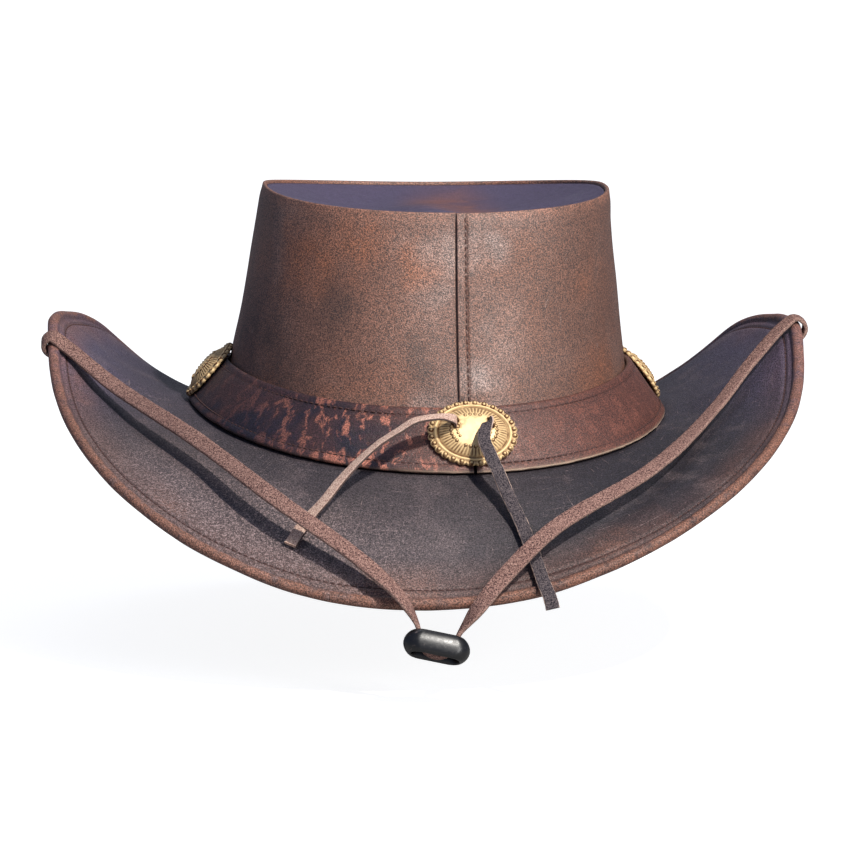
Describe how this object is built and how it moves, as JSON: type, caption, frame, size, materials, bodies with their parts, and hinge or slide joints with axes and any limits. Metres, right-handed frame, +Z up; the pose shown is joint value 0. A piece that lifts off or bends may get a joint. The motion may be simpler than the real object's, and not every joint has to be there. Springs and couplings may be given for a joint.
{
  "type": "leather bush hat",
  "caption": "Leather bush hat: tapered dished crown, curved brim, stitched band with oval conchos and laces, and a chin strap with a slider.",
  "frame": {"origin": "centre of the head opening, in the plane where the brim leaves the band", "axes": "+Z up along the crown, +Y the wearer's front, +X to the wearer's right"},
  "size_m": [0.3102, 0.3359, 0.1688],
  "materials": {
    "crown_leather": "worn satin brown leather",
    "brim_leather": "dark grained leather with burnished edge",
    "band_leather": "reddish brown stitched leather",
    "concho_brass": "aged cast brass",
    "lace_leather": "matt thong leather",
    "strap_leather": "matt suede leather",
    "slider": "satin black moulding"
  },
  "bodies": {
    "root": {"crown_side": "crown_leather", "crown_top": "crown_leather", "brim": "brim_leather", "hat_band": "band_leather", "concho_back": "concho_brass", "concho_left": "concho_brass", "concho_right": "concho_brass", "lace_left": "lace_leather", "lace_right": "lace_leather", "chin_strap": "strap_leather", "strap_slider": "slider"}
  },
  "joints": []
}
